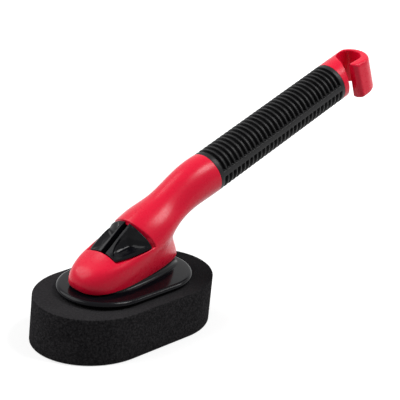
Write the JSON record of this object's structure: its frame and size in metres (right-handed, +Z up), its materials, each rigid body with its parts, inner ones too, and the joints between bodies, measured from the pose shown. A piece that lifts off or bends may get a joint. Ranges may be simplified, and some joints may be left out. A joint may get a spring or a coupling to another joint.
{
  "type": "foam sponge brush",
  "caption": "Hand brush with an oval foam pad on a snap-off plate, an angled red handle with a ribbed grip and an open hanging hook.",
  "frame": {"origin": "centre of the foam pad's flat working face", "axes": "+Z up, away from the working face; +X along the tool, from the toe towards the hook; +Y across it"},
  "size_m": [0.3251, 0.0804, 0.1692],
  "materials": {
    "foam": "matte",
    "adhesive": "satin",
    "black_plastic": "gloss",
    "red_plastic": "gloss",
    "grip_rubber": "satin",
    "tube_metal": "satin",
    "steel": "satin"
  },
  "bodies": {
    "handle": {"head_shell": "red_plastic", "tab_carrier": "black_plastic", "carrier_screws": "steel", "tab_spring": "steel", "core_tube": "tube_metal", "grip_sleeve": "grip_rubber", "hook_cap": "red_plastic", "lock_pin": "steel"},
    "left_tab": {"tab_left": "black_plastic"},
    "right_tab": {"tab_right": "black_plastic"},
    "pad": {"pad_plate": "black_plastic", "pad_adhesive": "adhesive", "foam_pad": "foam"}
  },
  "joints": [
    {"name": "left_tab_press", "type": "slide", "parent": "handle", "child": "left_tab", "axis": [0, 1, 0], "range_m": [0, 0.0014], "stiffness_N_per_m": 600, "springref_m": -0.001},
    {"name": "right_tab_press", "type": "slide", "parent": "handle", "child": "right_tab", "axis": [0, -1, 0], "range_m": [0, 0.0014], "stiffness_N_per_m": 600, "springref_m": -0.001, "deforming": ["tab_spring"]},
    {"name": "pad_release", "type": "slide", "parent": "handle", "child": "pad", "axis": [0, 0, -1], "range_m": [0, 0.04]}
  ]
}
